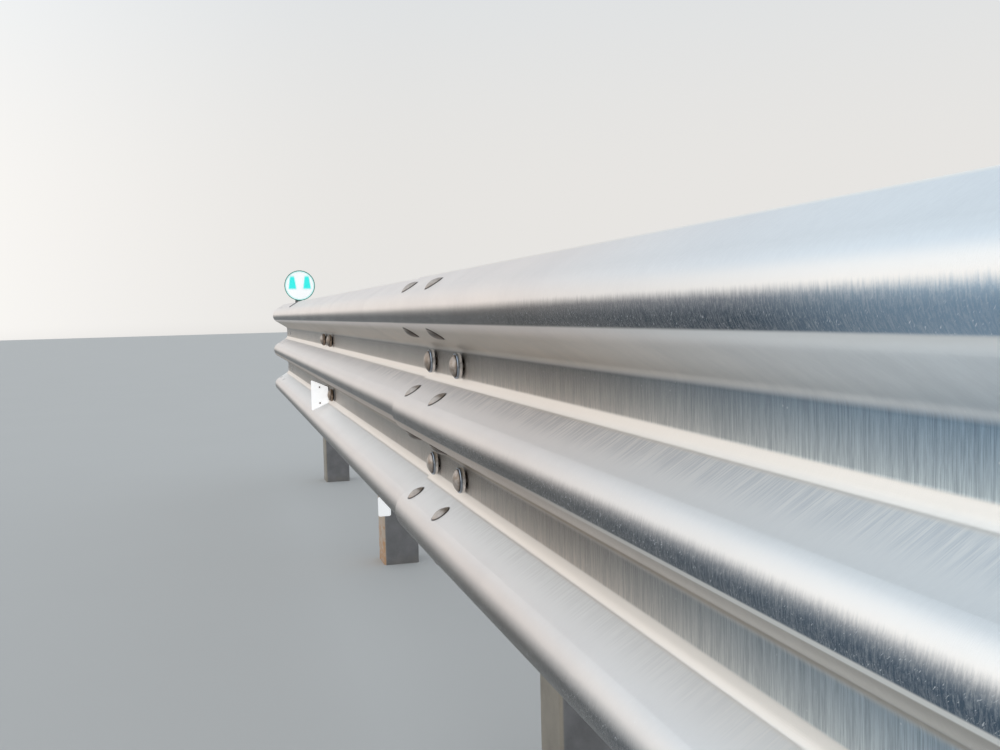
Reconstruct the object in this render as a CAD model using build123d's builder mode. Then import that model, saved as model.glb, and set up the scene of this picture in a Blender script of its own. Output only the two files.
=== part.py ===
from build123d import *

import os
from math import cos, radians, sin, tan

# Highway guardrail: three-wave steel beam panels, lapped at their splices and carried on square
# posts through folded spacer blocks. Millimetres. X runs along the rail, -Y is the road side and
# +Z is up. The origin is at ground level, in the road-side wall of the middle post.

# Layout along the rail
post_spacing = 2000.0
bays_per_panel = 2
panel_lap = 320.0
beam_centre_height = 740.0

# Three-wave beam panel
wave_count = 3
wave_pitch = 194.0
wave_depth = 76.0
sheet_thickness = 4.0
flank_angle = 58.0
crest_radius = 40.0
valley_radius = 14.0
edge_offset = 63.0

# Lap: the near panel lies on the road side of the far panel
lap_clearance = 0.1
lap_return_end = 1700.0

# Slots in the panels
bolt_column_spacing = 216.0
flank_row_offset = 42.0
splice_slot_length = 28.0
splice_slot_width = 18.0
valley_slot_length = 40.0
valley_slot_width = 20.0

# Square tube posts
post_size = 130.0
post_wall = 6.0
post_corner_radius = 12.0
post_above_spacer = 30.0
post_bolt_spacing = 150.0
post_bolt_hole_radius = 11.0

# Folded spacer blocks
spacer_depth = 165.0
spacer_front_width = 300.0
spacer_back_width = 150.0
spacer_side_depth = 70.0
spacer_height = 290.0
spacer_wall = 4.5
spacer_bend_radius = 12.0
spacer_hole_radius = 10.0

# Post caps
cap_plate = 3.0
cap_skirt_height = 28.0
cap_clearance = 0.5
cap_edge_chamfer = 1.5

# Trapezoid reflector in the lower valley
reflector_post_number = 2
reflector_bracket_thickness = 2.5
reflector_arm_offset = 32.0
reflector_foot_overhang = 22.0
reflector_foot_margin = 0.5
reflector_bend_radius = 5.0
reflector_hole_radius = 9.0
reflector_plate_thickness = 2.0
reflector_plate_depth = 60.0
reflector_plate_long_side = 110.0
reflector_plate_short_side = 56.0
reflector_plate_gap = 18.0
reflector_plate_radius = 3.0
reflector_rivet_spacing = 57.0
reflector_rivet_edge = 9.0
reflector_rivet_radius = 2.5

# Round marker on the rail's top edge
marker_x = -3164.0
marker_radius = 71.0
marker_thickness = 2.0
marker_rim_width = 3.0
marker_rim_depth = 6.0
marker_face_thickness = 1.5
marker_face_clearance = 0.3
marker_edge_gap = 4.0
marker_setback = 8.0
marker_strap_width = 30.0
marker_strap_thickness = 3.0
marker_grip_offset = 38.0
marker_grip_clearance = 0.3

# Small reflector low on one post
post_reflector_post_number = 2
post_reflector_width = 46.0
post_reflector_height = 72.0
post_reflector_thickness = 4.0
post_reflector_overhang = 18.0
post_reflector_centre_height = 220.0
post_reflector_radius = 6.0
post_reflector_edge_chamfer = 1.0

# Places that follow from the sizes above
flank = radians(flank_angle)
post_xs = [post_spacing * step for step in range(-bays_per_panel, bays_per_panel + 1)]
post_face_y = -post_wall / 2
post_centre_y = post_face_y + post_size / 2
rail_back_y = post_face_y - spacer_depth
valley_front_y = rail_back_y - sheet_thickness
crest_front_y = valley_front_y - wave_depth
wave_heights = [
    beam_centre_height + wave_pitch * (step - (wave_count - 1) / 2) for step in range(wave_count)
]
valley_heights = [height + wave_pitch / 2 for height in wave_heights[:-1]]
apex_rise = crest_radius / cos(flank) - crest_radius
valley_corner_offset = (wave_depth + apex_rise) / tan(flank)
edge_depth = edge_offset * tan(flank) - apex_rise
lap_shift = (sheet_thickness + lap_clearance) / cos(flank)
panel_length = bays_per_panel * post_spacing + panel_lap
rail_top = wave_heights[-1] + edge_offset
post_height = beam_centre_height + spacer_height / 2 + post_above_spacer
bolt_columns = [-bolt_column_spacing / 2, bolt_column_spacing / 2]
valley_spread = valley_heights[-1] - valley_heights[0]


def front_corners(shift):
    """Corners of the beam's front surface, from the lower edge to the upper one, as (y, z)."""
    front = crest_front_y - shift
    corners = [(front + edge_depth, wave_heights[0] - edge_offset)]
    for height in wave_heights:
        corners.append((front - apex_rise, height))
        if height != wave_heights[-1]:
            corners.append((front + wave_depth, height + valley_corner_offset))
            corners.append((front + wave_depth, height + wave_pitch - valley_corner_offset))
    corners.append((front + edge_depth, wave_heights[-1] + edge_offset))
    return corners


def bend_radii():
    """Front-surface radius at each corner between the two edges."""
    radii = [crest_radius]
    for _ in valley_heights:
        radii += [valley_radius, valley_radius, crest_radius]
    return radii


def beam_panel(label, far_end, near_end, lap_start=None):
    """One beam panel. With lap_start, its far end lies a sheet's thickness nearer the road."""
    shift = 0.0 if lap_start is None else lap_shift
    straight_start = far_end if lap_start is None else lap_return_end
    with BuildPart() as panel:
        # Straight run at the spacers
        with BuildSketch(Plane.YZ.offset(straight_start)):
            with BuildLine():
                FilletPolyline(front_corners(0), radius=bend_radii())
                offset(amount=sheet_thickness, side=Side.RIGHT)
            make_face()
        extrude(amount=near_end - straight_start)

        # Lapped end, and the gentle return to the line of the spacers
        if lap_start is not None:
            lap_finish = lap_start + panel_lap
            return_run = Vector(lap_return_end - lap_finish, lap_shift, 0)
            with BuildSketch(Plane.YZ.offset(lap_start)):
                with BuildLine():
                    FilletPolyline(front_corners(lap_shift), radius=bend_radii())
                    offset(amount=sheet_thickness, side=Side.RIGHT)
                make_face()
            extrude(amount=panel_lap)
            with BuildSketch(Plane.YZ.offset(lap_finish)):
                with BuildLine():
                    FilletPolyline(front_corners(lap_shift), radius=bend_radii())
                    offset(amount=sheet_thickness, side=Side.RIGHT)
                make_face()
            extrude(amount=return_run.length, dir=return_run)

        # Splice slots on the flanks, at both ends
        for post_x, end_shift in ((far_end + panel_lap / 2, shift), (near_end - panel_lap / 2, 0)):
            for height in wave_heights:
                for side in (-1, 1):
                    row_y = crest_front_y - end_shift + flank_row_offset * tan(flank) - apex_rise
                    row = Plane(
                        origin=(post_x, row_y, height + side * flank_row_offset),
                        x_dir=(1, 0, 0),
                        z_dir=(0, -cos(flank), side * sin(flank)),
                    )
                    with BuildSketch(row):
                        with Locations(*[(column, 0) for column in bolt_columns]):
                            SlotOverall(splice_slot_length, splice_slot_width)
                    extrude(amount=1.5 * sheet_thickness, both=True, mode=Mode.SUBTRACT)

        # Bolt slots in the valleys, at every post that the panel crosses
        for post_x in post_xs:
            if far_end < post_x < near_end:
                valley_face = Plane(
                    origin=(post_x, valley_front_y, beam_centre_height),
                    x_dir=(1, 0, 0),
                    z_dir=(0, -1, 0),
                )
                with BuildSketch(valley_face):
                    with GridLocations(bolt_column_spacing, valley_spread, 2, 2):
                        SlotOverall(valley_slot_length, valley_slot_width)
                extrude(amount=3 * sheet_thickness, both=True, mode=Mode.SUBTRACT)
    panel.part.label = label
    export_step(panel.part, f"parts/{label}.step")


os.makedirs("parts", exist_ok=True)

# Beam panels: the near one laps over the far one at the middle post
beam_panel("rail_panel_far", -panel_length + panel_lap / 2, panel_lap / 2)
beam_panel("rail_panel_near", -panel_lap / 2, panel_length - panel_lap / 2, -panel_lap / 2)

for number, post_x in enumerate(post_xs, 1):
    # Square tube post, from ground level up, with its bolt holes through both walls
    with BuildPart() as post:
        with BuildSketch(Plane((post_x, post_centre_y, 0))):
            RectangleRounded(post_size, post_size, post_corner_radius)
            RectangleRounded(
                post_size - 2 * post_wall,
                post_size - 2 * post_wall,
                post_corner_radius - post_wall,
                mode=Mode.SUBTRACT,
            )
        extrude(amount=post_height)
        with BuildSketch(Plane.XZ.offset(-post_centre_y)):
            with Locations((post_x, beam_centre_height)):
                with GridLocations(0, post_bolt_spacing, 1, 2):
                    Circle(post_bolt_hole_radius)
        extrude(amount=post_size, both=True, mode=Mode.SUBTRACT)
    post.part.label = f"post_{number}"
    export_step(post.part, f"parts/post_{number}.step")

    # Cap: a plate on the post's top edge with a skirt round it
    with BuildPart() as cap:
        cap_size = post_size + 2 * (cap_clearance + cap_plate)
        cap_corner = post_corner_radius + cap_clearance + cap_plate
        with BuildSketch(Plane((post_x, post_centre_y, post_height - cap_skirt_height))):
            RectangleRounded(cap_size, cap_size, cap_corner)
        extrude(amount=cap_skirt_height + cap_plate)
        with BuildSketch(Plane((post_x, post_centre_y, post_height - cap_skirt_height))):
            RectangleRounded(
                cap_size - 2 * cap_plate, cap_size - 2 * cap_plate, cap_corner - cap_plate
            )
        extrude(amount=cap_skirt_height, mode=Mode.SUBTRACT)
        chamfer(cap.edges().group_by(Axis.Z)[-1], length=cap_edge_chamfer)
    cap.part.label = f"post_cap_{number}"
    export_step(cap.part, f"parts/post_cap_{number}.step")

    # Spacer block: one strip folded into a six-sided ring, wide at the rail, narrow at the post
    with BuildPart() as spacer:
        half_front = spacer_front_width / 2
        half_back = spacer_back_width / 2
        side_y = rail_back_y + spacer_side_depth
        with BuildSketch(Plane.XY.offset(beam_centre_height - spacer_height / 2)):
            with BuildLine():
                FilletPolyline(
                    (post_x - half_front, rail_back_y),
                    (post_x + half_front, rail_back_y),
                    (post_x + half_front, side_y),
                    (post_x + half_back, post_face_y),
                    (post_x - half_back, post_face_y),
                    (post_x - half_front, side_y),
                    radius=spacer_bend_radius,
                    close=True,
                )
            make_face()
            offset(amount=-spacer_wall, mode=Mode.SUBTRACT)
        extrude(amount=spacer_height)
        with BuildSketch(Plane.XZ.offset(-rail_back_y)):
            with Locations((post_x, beam_centre_height)):
                with GridLocations(bolt_column_spacing, valley_spread, 2, 2):
                    Circle(spacer_hole_radius)
        extrude(amount=2 * spacer_wall, both=True, mode=Mode.SUBTRACT)
        with BuildSketch(Plane.XZ.offset(-post_face_y)):
            with Locations((post_x, beam_centre_height)):
                with GridLocations(0, post_bolt_spacing, 1, 2):
                    Circle(post_bolt_hole_radius)
        extrude(amount=2 * spacer_wall, both=True, mode=Mode.SUBTRACT)
    spacer.part.label = f"spacer_block_{number}"
    export_step(spacer.part, f"parts/spacer_block_{number}.step")

# Reflector bracket: a foot under the valley bolt, folded into an arm that widens behind the plate
reflector_x = post_xs[reflector_post_number - 1] + bolt_column_spacing / 2
reflector_z = valley_heights[0]
arm_x = reflector_x - reflector_arm_offset
plate_back_y = valley_front_y - reflector_plate_gap
plate_front_y = plate_back_y - reflector_plate_depth
rivet_y = plate_back_y - reflector_plate_depth / 2
arm_start_y = rivet_y + reflector_rivet_edge
arm_end_y = rivet_y - reflector_rivet_edge
valley_flat = wave_pitch - 2 * valley_corner_offset - 2 * valley_radius * tan(flank / 2)
foot_height = valley_flat - 2 * reflector_foot_margin
arm_height = reflector_rivet_spacing + 2 * reflector_rivet_edge
rivet_plane = Plane(origin=(arm_x, rivet_y, reflector_z), x_dir=(0, 1, 0), z_dir=(1, 0, 0))
with BuildPart() as reflector_bracket:
    with BuildSketch(Plane.XY.offset(reflector_z - foot_height / 2)):
        with BuildLine():
            FilletPolyline(
                (reflector_x + reflector_foot_overhang, valley_front_y),
                (arm_x, valley_front_y),
                (arm_x, plate_back_y),
                radius=reflector_bend_radius,
            )
            offset(amount=reflector_bracket_thickness, side=Side.LEFT)
        make_face()
    extrude(amount=foot_height)
    with BuildSketch(Plane.YZ.offset(arm_x)):
        with BuildLine():
            Polyline(
                (plate_back_y, reflector_z - foot_height / 2),
                (plate_back_y, reflector_z + foot_height / 2),
                (arm_start_y, reflector_z + arm_height / 2),
                (arm_end_y, reflector_z + arm_height / 2),
                (arm_end_y, reflector_z - arm_height / 2),
                (arm_start_y, reflector_z - arm_height / 2),
                close=True,
            )
        make_face()
    extrude(amount=reflector_bracket_thickness)
    with BuildSketch(Plane.XZ.offset(-valley_front_y)):
        with Locations((reflector_x, reflector_z)):
            Circle(reflector_hole_radius)
    extrude(amount=2 * reflector_bracket_thickness, both=True, mode=Mode.SUBTRACT)
    with BuildSketch(rivet_plane):
        with GridLocations(0, reflector_rivet_spacing, 1, 2):
            Circle(reflector_rivet_radius)
    extrude(amount=reflector_bracket_thickness, mode=Mode.SUBTRACT)
reflector_bracket.part.label = "reflector_bracket"
export_step(reflector_bracket.part, "parts/reflector_bracket.step")

# Trapezoid reflector plate: long edge to the road, short edge to the valley
with BuildPart() as reflector_plate:
    half_long = reflector_plate_long_side / 2
    half_short = reflector_plate_short_side / 2
    with BuildSketch(Plane.YZ.offset(arm_x + reflector_bracket_thickness)):
        with BuildLine():
            FilletPolyline(
                (plate_front_y, reflector_z - half_long),
                (plate_back_y, reflector_z - half_short),
                (plate_back_y, reflector_z + half_short),
                (plate_front_y, reflector_z + half_long),
                radius=reflector_plate_radius,
                close=True,
            )
        make_face()
    extrude(amount=reflector_plate_thickness)
    with BuildSketch(rivet_plane.offset(reflector_bracket_thickness)):
        with GridLocations(0, reflector_rivet_spacing, 1, 2):
            Circle(reflector_rivet_radius)
    extrude(amount=reflector_plate_thickness, mode=Mode.SUBTRACT)
reflector_plate.part.label = "reflector_plate"
export_step(reflector_plate.part, "parts/reflector_plate.step")

# Marker clip: folded over the rail's sloping top edge, with a tab that stands up behind the disc
top_wave = wave_heights[-1]
edge_y = crest_front_y + edge_depth
tab_y = edge_y + marker_setback
marker_z = rail_top + marker_edge_gap + marker_radius


def edge_strip(start_offset):
    """Section of the beam's sheet from a height on the top wave up to its edge, as (y, z)."""
    start_y = crest_front_y + start_offset * tan(flank) - apex_rise
    back = (sheet_thickness * cos(flank), -sheet_thickness * sin(flank))
    corners = [(start_y, top_wave + start_offset), (edge_y, rail_top)]
    corners += [(edge_y + back[0], rail_top + back[1])]
    corners += [(start_y + back[0], top_wave + start_offset + back[1])]
    return corners


with BuildPart() as marker_clip:
    with BuildSketch(Plane.YZ.offset(marker_x - marker_strap_width / 2)):
        with BuildLine():
            Polyline(*edge_strip(marker_grip_offset), close=True)
        make_face()
        offset(amount=marker_grip_clearance + marker_strap_thickness)
    extrude(amount=marker_strap_width)
    with BuildSketch(Plane.YZ.offset(marker_x)):
        with Locations((edge_y, rail_top)):
            Circle(marker_strap_width / 2)
        with Locations((tab_y, marker_z)):
            Circle(marker_strap_width / 2)
        make_hull()
    extrude(amount=-marker_strap_thickness)
    with BuildSketch(Plane.YZ.offset(marker_x - marker_strap_width / 2)):
        with BuildLine():
            Polyline(*edge_strip(marker_grip_offset - marker_strap_width), close=True)
        make_face()
        offset(amount=marker_grip_clearance)
    extrude(amount=marker_strap_width, mode=Mode.SUBTRACT)
marker_clip.part.label = "marker_clip"
export_step(marker_clip.part, "parts/marker_clip.step")

# Marker disc: a shallow pan with a raised rim, facing along the rail
marker_front = Plane(origin=(marker_x, tab_y, marker_z), x_dir=(0, 1, 0), z_dir=(1, 0, 0))
with BuildPart() as marker_disc:
    with BuildSketch(marker_front):
        Circle(marker_radius)
    extrude(amount=marker_rim_depth)
    with BuildSketch(marker_front.offset(marker_thickness)):
        Circle(marker_radius - marker_rim_width)
    extrude(amount=marker_rim_depth, mode=Mode.SUBTRACT)
marker_disc.part.label = "marker_disc"
export_step(marker_disc.part, "parts/marker_disc.step")

# Reflective face, set in the pan
with BuildPart() as marker_face:
    with BuildSketch(marker_front.offset(marker_thickness)):
        Circle(marker_radius - marker_rim_width - marker_face_clearance)
    extrude(amount=marker_face_thickness)
marker_face.part.label = "marker_face"
export_step(marker_face.part, "parts/marker_face.step")

# Small reflector low on the near face of one post, standing past its road-side corner
post_face_x = post_xs[post_reflector_post_number - 1] + post_size / 2
post_reflector_y = post_face_y - post_reflector_overhang + post_reflector_width / 2
with BuildPart() as post_reflector:
    with BuildSketch(Plane.YZ.offset(post_face_x)):
        with Locations((post_reflector_y, post_reflector_centre_height)):
            RectangleRounded(post_reflector_width, post_reflector_height, post_reflector_radius)
    extrude(amount=post_reflector_thickness)
    chamfer(post_reflector.edges().group_by(Axis.X)[-1], length=post_reflector_edge_chamfer)
post_reflector.part.label = "post_reflector"
export_step(post_reflector.part, "parts/post_reflector.step")
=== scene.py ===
from math import atan2, cos, pi, radians, sin, tan
from random import Random

import bmesh
import bpy
from bpy.props import FloatProperty, FloatVectorProperty, IntProperty, PointerProperty
from mathutils import Matrix, Vector


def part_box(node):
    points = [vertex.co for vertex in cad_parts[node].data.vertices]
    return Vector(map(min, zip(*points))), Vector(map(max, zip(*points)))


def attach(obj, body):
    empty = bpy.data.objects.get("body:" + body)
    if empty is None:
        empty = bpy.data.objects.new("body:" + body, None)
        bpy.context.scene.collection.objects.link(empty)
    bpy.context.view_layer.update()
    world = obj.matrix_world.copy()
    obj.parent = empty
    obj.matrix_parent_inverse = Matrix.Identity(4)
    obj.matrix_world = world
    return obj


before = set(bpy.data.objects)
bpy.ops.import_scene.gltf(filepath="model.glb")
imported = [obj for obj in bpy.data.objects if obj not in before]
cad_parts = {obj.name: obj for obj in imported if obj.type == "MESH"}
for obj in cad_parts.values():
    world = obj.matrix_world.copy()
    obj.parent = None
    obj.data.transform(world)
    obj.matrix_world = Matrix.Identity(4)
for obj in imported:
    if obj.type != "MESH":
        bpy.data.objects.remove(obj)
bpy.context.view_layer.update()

bl_info = {
    "name": "Highway guardrail",
    "version": (1, 0, 0),
    "blender": (4, 5, 0),
    "location": "View3D > Sidebar > Guardrail",
    "description": "Bolts, finishes and stage for a three-wave highway guardrail section",
    "category": "Object",
}

MM = 0.001

# Places on the rail, in metres, as the solids have them
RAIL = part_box("rail_panel_far")
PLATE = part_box("reflector_plate")
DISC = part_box("marker_disc")
POST_XS = [sum(v.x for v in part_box(f"post_{n}")) / 2 for n in range(1, 6)]
POST_BACK_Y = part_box("post_1")[1].y
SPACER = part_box("spacer_block_3")
SPACER_BACK_WALL = 4.5 * MM
SHEET = 4.0 * MM
LAP_GAP = 0.1 * MM
FLANK = radians(58)
WAVE_PITCH = 194 * MM
CENTRE_Z = (SPACER[0].z + SPACER[1].z) / 2
CRESTS = [CENTRE_Z + WAVE_PITCH * step for step in (-1, 0, 1)]
VALLEYS = [CENTRE_Z + WAVE_PITCH * step for step in (-0.5, 0.5)]
CREST_FRONT_Y = RAIL[0].y
VALLEY_FRONT_Y = RAIL[1].y - SHEET
LAP_SHIFT = (SHEET + LAP_GAP) / cos(FLANK)
CREST_RADIUS = 40 * MM
APEX_RISE = CREST_RADIUS / cos(FLANK) - CREST_RADIUS
ROW_OFFSET = 42 * MM
ROW_Y = CREST_FRONT_Y - LAP_SHIFT + ROW_OFFSET * tan(FLANK) - APEX_RISE
BOLT_COLUMN = 108 * MM
POST_BOLT_RISE = 75 * MM


def length(name, description, default):
    """A size in metres that the sidebar shows with its unit."""
    return FloatProperty(
        name=name, description=description, default=default, min=0.0, unit="LENGTH", precision=4
    )


def colour(name, description, default):
    """A colour that the sidebar shows as a swatch."""
    return FloatVectorProperty(
        name=name,
        description=description,
        default=default,
        size=3,
        min=0.0,
        max=1.0,
        subtype="COLOR",
    )


class GuardrailSizes(bpy.types.PropertyGroup):
    """Sizes of the fasteners that hold the rail together."""

    splice_head: length("Splice head", "Diameter of the button heads on the flanks", 35 * MM)
    splice_dome: length("Splice dome", "Height of the button heads on the flanks", 6.5 * MM)
    valley_head: length("Valley head", "Diameter of the domed heads in the valleys", 39 * MM)
    valley_dome: length("Valley dome", "Height of the domed heads in the valleys", 9.5 * MM)
    valley_washer: length("Valley washer", "Diameter of the thick washers", 44 * MM)
    washer_lift: length("Washer lift", "How far the washer's rim stands off the sheet", 3.2 * MM)
    washer_rim: length("Washer rim", "Thickness of the washer's rim", 9.3 * MM)
    shank: length("Shank", "Thread diameter of the rail bolts", 16 * MM)
    nut_width: length("Nut width", "Nut size across its flats", 24 * MM)
    post_shank: length("Post shank", "Thread diameter of the bolts through the posts", 20 * MM)
    post_nut_width: length("Post nut width", "Post nut size across its flats", 30 * MM)
    rivet_head: length("Rivet head", "Diameter of the reflector's rivet heads", 7 * MM)
    turn_segments: IntProperty(
        name="Turned segments", description="Sides of a turned head", default=40, min=12, max=96
    )


class GuardrailColours(bpy.types.PropertyGroup):
    """Colours of the finishes."""

    # Near and far tones differ by painted reflected light: the near end is brighter and bluer, mirroring more
    # of the bright sky.
    zinc_near: colour("Near zinc", "Zinc coat at the rail's near end", (0.84, 0.88, 0.905))
    zinc_far: colour("Far zinc", "Zinc coat at the rail's far end", (0.85, 0.765, 0.715))
    # Painted shade that darkens the far end's bands, flats and under-slopes.
    far_painted_shade: colour("Far shade", "Grime on the far end's shaded faces", (0.64, 0.64, 0.595))
    zinc_back: colour("Back zinc", "Zinc coat of the rail's back", (0.80, 0.81, 0.82))
    zinc_dull: colour("Dull zinc", "Tone of the coat's duller patches", (0.88, 0.88, 0.89))
    streak: colour("Streaks", "Tone of the streaks on the slopes", (0.55, 0.58, 0.61))
    slope_far: colour("Far slope", "Bright streaks on the far slopes", (0.91, 0.825, 0.77))
    slope_near: colour("Near slope", "Bright streaks on the near slopes", (0.98, 1.0, 1.0))
    slope_low: colour("Lowest slope", "Bright streaks on the lowest slope", (1.0, 0.97, 0.94))
    slope_shade: colour("Slope shade", "How far the dull streaks darken a slope", (0.71, 0.72, 0.74))
    slope_shade_near: colour("Near shade", "The same at the near end", (0.80, 0.83, 0.87))
    # The fold tones are a painted highlight along the concave fold at each valley's foot.
    fold_highlight_far: colour("Far fold", "Rubbed fold at a valley's foot, far end", (0.87, 0.785, 0.71))
    fold_highlight_near: colour("Near fold", "Rubbed fold at a valley's foot, near end", (1.0, 0.97, 0.92))
    # Painted shade on the strip below the band of the middle and lower crests.
    deep: colour("Deep shade", "Grime under the middle and lower crests", (0.60, 0.55, 0.49))
    # The band tones are a painted reflection of the dark road under each crest, and of paler sky at the top
    # crest's near end.
    band_foot: colour("Reflection foot", "Darkest tone of the film, near end", (0.05, 0.11, 0.18))
    band_foot_far: colour("Far film foot", "The same at the far end", (0.06, 0.065, 0.08))
    band_near: colour("Open end film", "Reflection at the top crest's near end", (0.40, 0.55, 0.71))
    band: colour("Near film", "Reflection under each crest, near end", (0.24, 0.29, 0.36))
    band_far: colour("Far film", "Reflection under each crest, far end", (0.30, 0.285, 0.30))
    # Painted highlight just over the band at the near end, and painted shade there at the far end.
    brow: colour("Crest highlight", "Rubbed zone over the film at the near end", (1.0, 0.965, 0.925))
    brow_far: colour("Far crest", "Dull zone over the film at the far end", (0.64, 0.58, 0.55))
    # Valley tones: painted shade darkest at each flat's head under the crest above, with painted reflected sky
    # at the near end.
    flat_low: colour("Valley foot", "Tone low in a valley's flat", (1.0, 0.95, 0.93))
    flat_low_near: colour("Near valley foot", "The same at the near end", (0.94, 1.0, 1.0))
    flat_high: colour("Valley head", "Tone high in a valley's flat", (0.17, 0.17, 0.17))
    flat_high_near: colour("Near valley head", "The same at the near end", (0.36, 0.50, 0.64))
    # Posts' and spacers' zinc is darkened as painted shade; the posts' road side is lighter and warmer as
    # painted light.
    post_zinc: colour("Post zinc", "Zinc coat of posts and spacers", (0.265, 0.262, 0.268))
    post_road: colour("Post road side", "Zinc coat of the posts' road side", (0.42, 0.375, 0.315))
    post_stained: colour("Stained side", "Road side of the stained post", (0.66, 0.53, 0.42))
    bolt_light: colour("Bolt zinc", "Bright tone of the bolt heads", (0.60, 0.53, 0.48))
    bolt_dark: colour("Bolt tarnish", "Brown tarnish on the bolt heads", (0.34, 0.27, 0.22))
    # Painted shade on the bolts' faces turned down and along their seams.
    bolt_shade: colour("Bolt shade", "Dirt under and around the heads", (0.06, 0.05, 0.045))
    # Painted highlight on the washers' rims and painted bluish reflection along their front edges.
    washer_highlight: colour("Washer rim", "Rubbed rim of the thick washers", (0.97, 0.97, 0.98))
    washer_reflection: colour("Washer front", "Front edge of the thick washers", (0.36, 0.41, 0.48))
    rust: colour("Rust", "Stains low on one post", (0.55, 0.27, 0.11))
    sheeting: colour("Sheeting", "White reflective sheeting", (0.92, 0.92, 0.92))
    marker_patch: colour("Marker patch", "Cyan patches of the round marker", (0.02, 0.80, 0.74))
    marker_rim: colour("Marker rim", "Green pan of the round marker", (0.01, 0.20, 0.15))
    sky_low: colour("Low sky", "Soft light from low down", (1.0, 0.98, 0.95))
    sky_high: colour("High sky", "Soft light from above", (0.80, 0.90, 0.99))
    floor: colour("Floor", "Plain studio floor", (0.53, 0.515, 0.495))


# Node helpers


def put(tree, kind, **settings):
    """Adds a node and sets its settings."""
    node = tree.nodes.new(kind)
    for key, value in settings.items():
        setattr(node, key, value)
    return node


def wire(tree, source, target):
    """Joins an output to an input, or writes a constant there."""
    if isinstance(source, bpy.types.NodeSocket):
        tree.links.new(source, target)
    else:
        target.default_value = source


def maths(tree, operation, *values, clamp=False):
    """A Math node with its inputs filled in order."""
    node = put(tree, "ShaderNodeMath", operation=operation, use_clamp=clamp)
    for value, socket in zip(values, node.inputs):
        wire(tree, value, socket)
    return node.outputs[0]


def ramp(tree, value, low, high, to_low=0.0, to_high=1.0, smooth=True):
    """Maps a value from one range to another, clamped."""
    kind = "SMOOTHSTEP" if smooth else "LINEAR"
    node = put(tree, "ShaderNodeMapRange", interpolation_type=kind, clamp=True)
    for source, socket in zip((value, low, high, to_low, to_high), node.inputs):
        wire(tree, source, socket)
    return node.outputs[0]


def mix(tree, factor, first, second, blend="MIX"):
    """Mixes two colours."""
    node = put(tree, "ShaderNodeMix", data_type="RGBA", blend_type=blend)
    for source, name in ((factor, 0), (first, 6), (second, 7)):
        if isinstance(source, (tuple, list)) or hasattr(source, "r"):
            source = (*tuple(source)[:3], 1.0)
        wire(tree, source, node.inputs[name])
    return node.outputs[2]


def noise(tree, vector, scale, detail=3.0, roughness=0.55, distortion=0.0):
    """Noise value, 0 to 1."""
    node = put(tree, "ShaderNodeTexNoise")
    wire(tree, vector, node.inputs["Vector"])
    for value, name in (
        (scale, "Scale"),
        (detail, "Detail"),
        (roughness, "Roughness"),
        (distortion, "Distortion"),
    ):
        wire(tree, value, node.inputs[name])
    return node.outputs["Fac"]


def stretched(tree, vector, scales, lean=0.0):
    """The vector with each axis scaled, and X leaning with Z."""
    parts = put(tree, "ShaderNodeSeparateXYZ")
    wire(tree, vector, parts.inputs[0])
    along = maths(tree, "MULTIPLY_ADD", parts.outputs[2], lean, parts.outputs[0])
    joined = put(tree, "ShaderNodeCombineXYZ")
    for source, scale, socket in zip(
        (along, parts.outputs[1], parts.outputs[2]), scales, joined.inputs
    ):
        wire(tree, maths(tree, "MULTIPLY", source, scale), socket)
    return joined.outputs[0]


def effect(name, inputs, outputs):
    """An empty shader node group with float or vector sockets: (group, inputs, output node)."""
    group = bpy.data.node_groups.new(name, "ShaderNodeTree")
    for socket, default in inputs:
        kind = "NodeSocketVector" if default is None else "NodeSocketFloat"
        made = group.interface.new_socket(socket, in_out="INPUT", socket_type=kind)
        if default is not None:
            made.default_value = default
    for socket in outputs:
        group.interface.new_socket(socket, in_out="OUTPUT", socket_type="NodeSocketFloat")
    start = group.nodes.new("NodeGroupInput")
    end = group.nodes.new("NodeGroupOutput")
    return group, start.outputs, end.inputs


def zinc_streaks():
    """Fine streaks that run across the rail, as the drawn and dipped sheet has them."""
    group, given, out = effect(
        "Zinc streaks",
        (("Vector", None), ("Along", 420.0), ("Across", 9.0), ("Lean", 0.12), ("Softness", 0.5)),
        ("Streak", "Fine"),
    )
    fine = stretched(group, given["Vector"], (given["Along"], given["Across"], given["Across"]))
    lean = stretched(
        group,
        given["Vector"],
        (maths(group, "MULTIPLY", given["Along"], 0.16), given["Across"], given["Across"]),
        given["Lean"],
    )
    hair = noise(group, fine, 1.0, 4.0, 0.65)
    broad = noise(group, lean, 1.0, 3.0, 0.6)
    both = maths(group, "MULTIPLY_ADD", broad, 0.55, maths(group, "MULTIPLY", hair, 0.45))
    low = maths(group, "MULTIPLY_ADD", given["Softness"], -0.25, 0.5)
    high = maths(group, "MULTIPLY_ADD", given["Softness"], 0.25, 0.5)
    wire(group, ramp(group, both, low, high), out["Streak"])
    wire(group, ramp(group, hair, low, high), out["Fine"])
    return group


def zinc_clouds():
    """Soft patches and fine grain of a hot-dip coat."""
    group, given, out = effect(
        "Zinc clouds", (("Vector", None), ("Patch", 6.0), ("Grain", 900.0)), ("Patch", "Grain")
    )
    patch = noise(group, given["Vector"], given["Patch"], 4.0, 0.6, 0.4)
    grain = noise(group, given["Vector"], given["Grain"], 2.0, 0.6)
    wire(group, ramp(group, patch, 0.32, 0.68), out["Patch"])
    wire(group, ramp(group, grain, 0.3, 0.7), out["Grain"])
    return group


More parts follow.
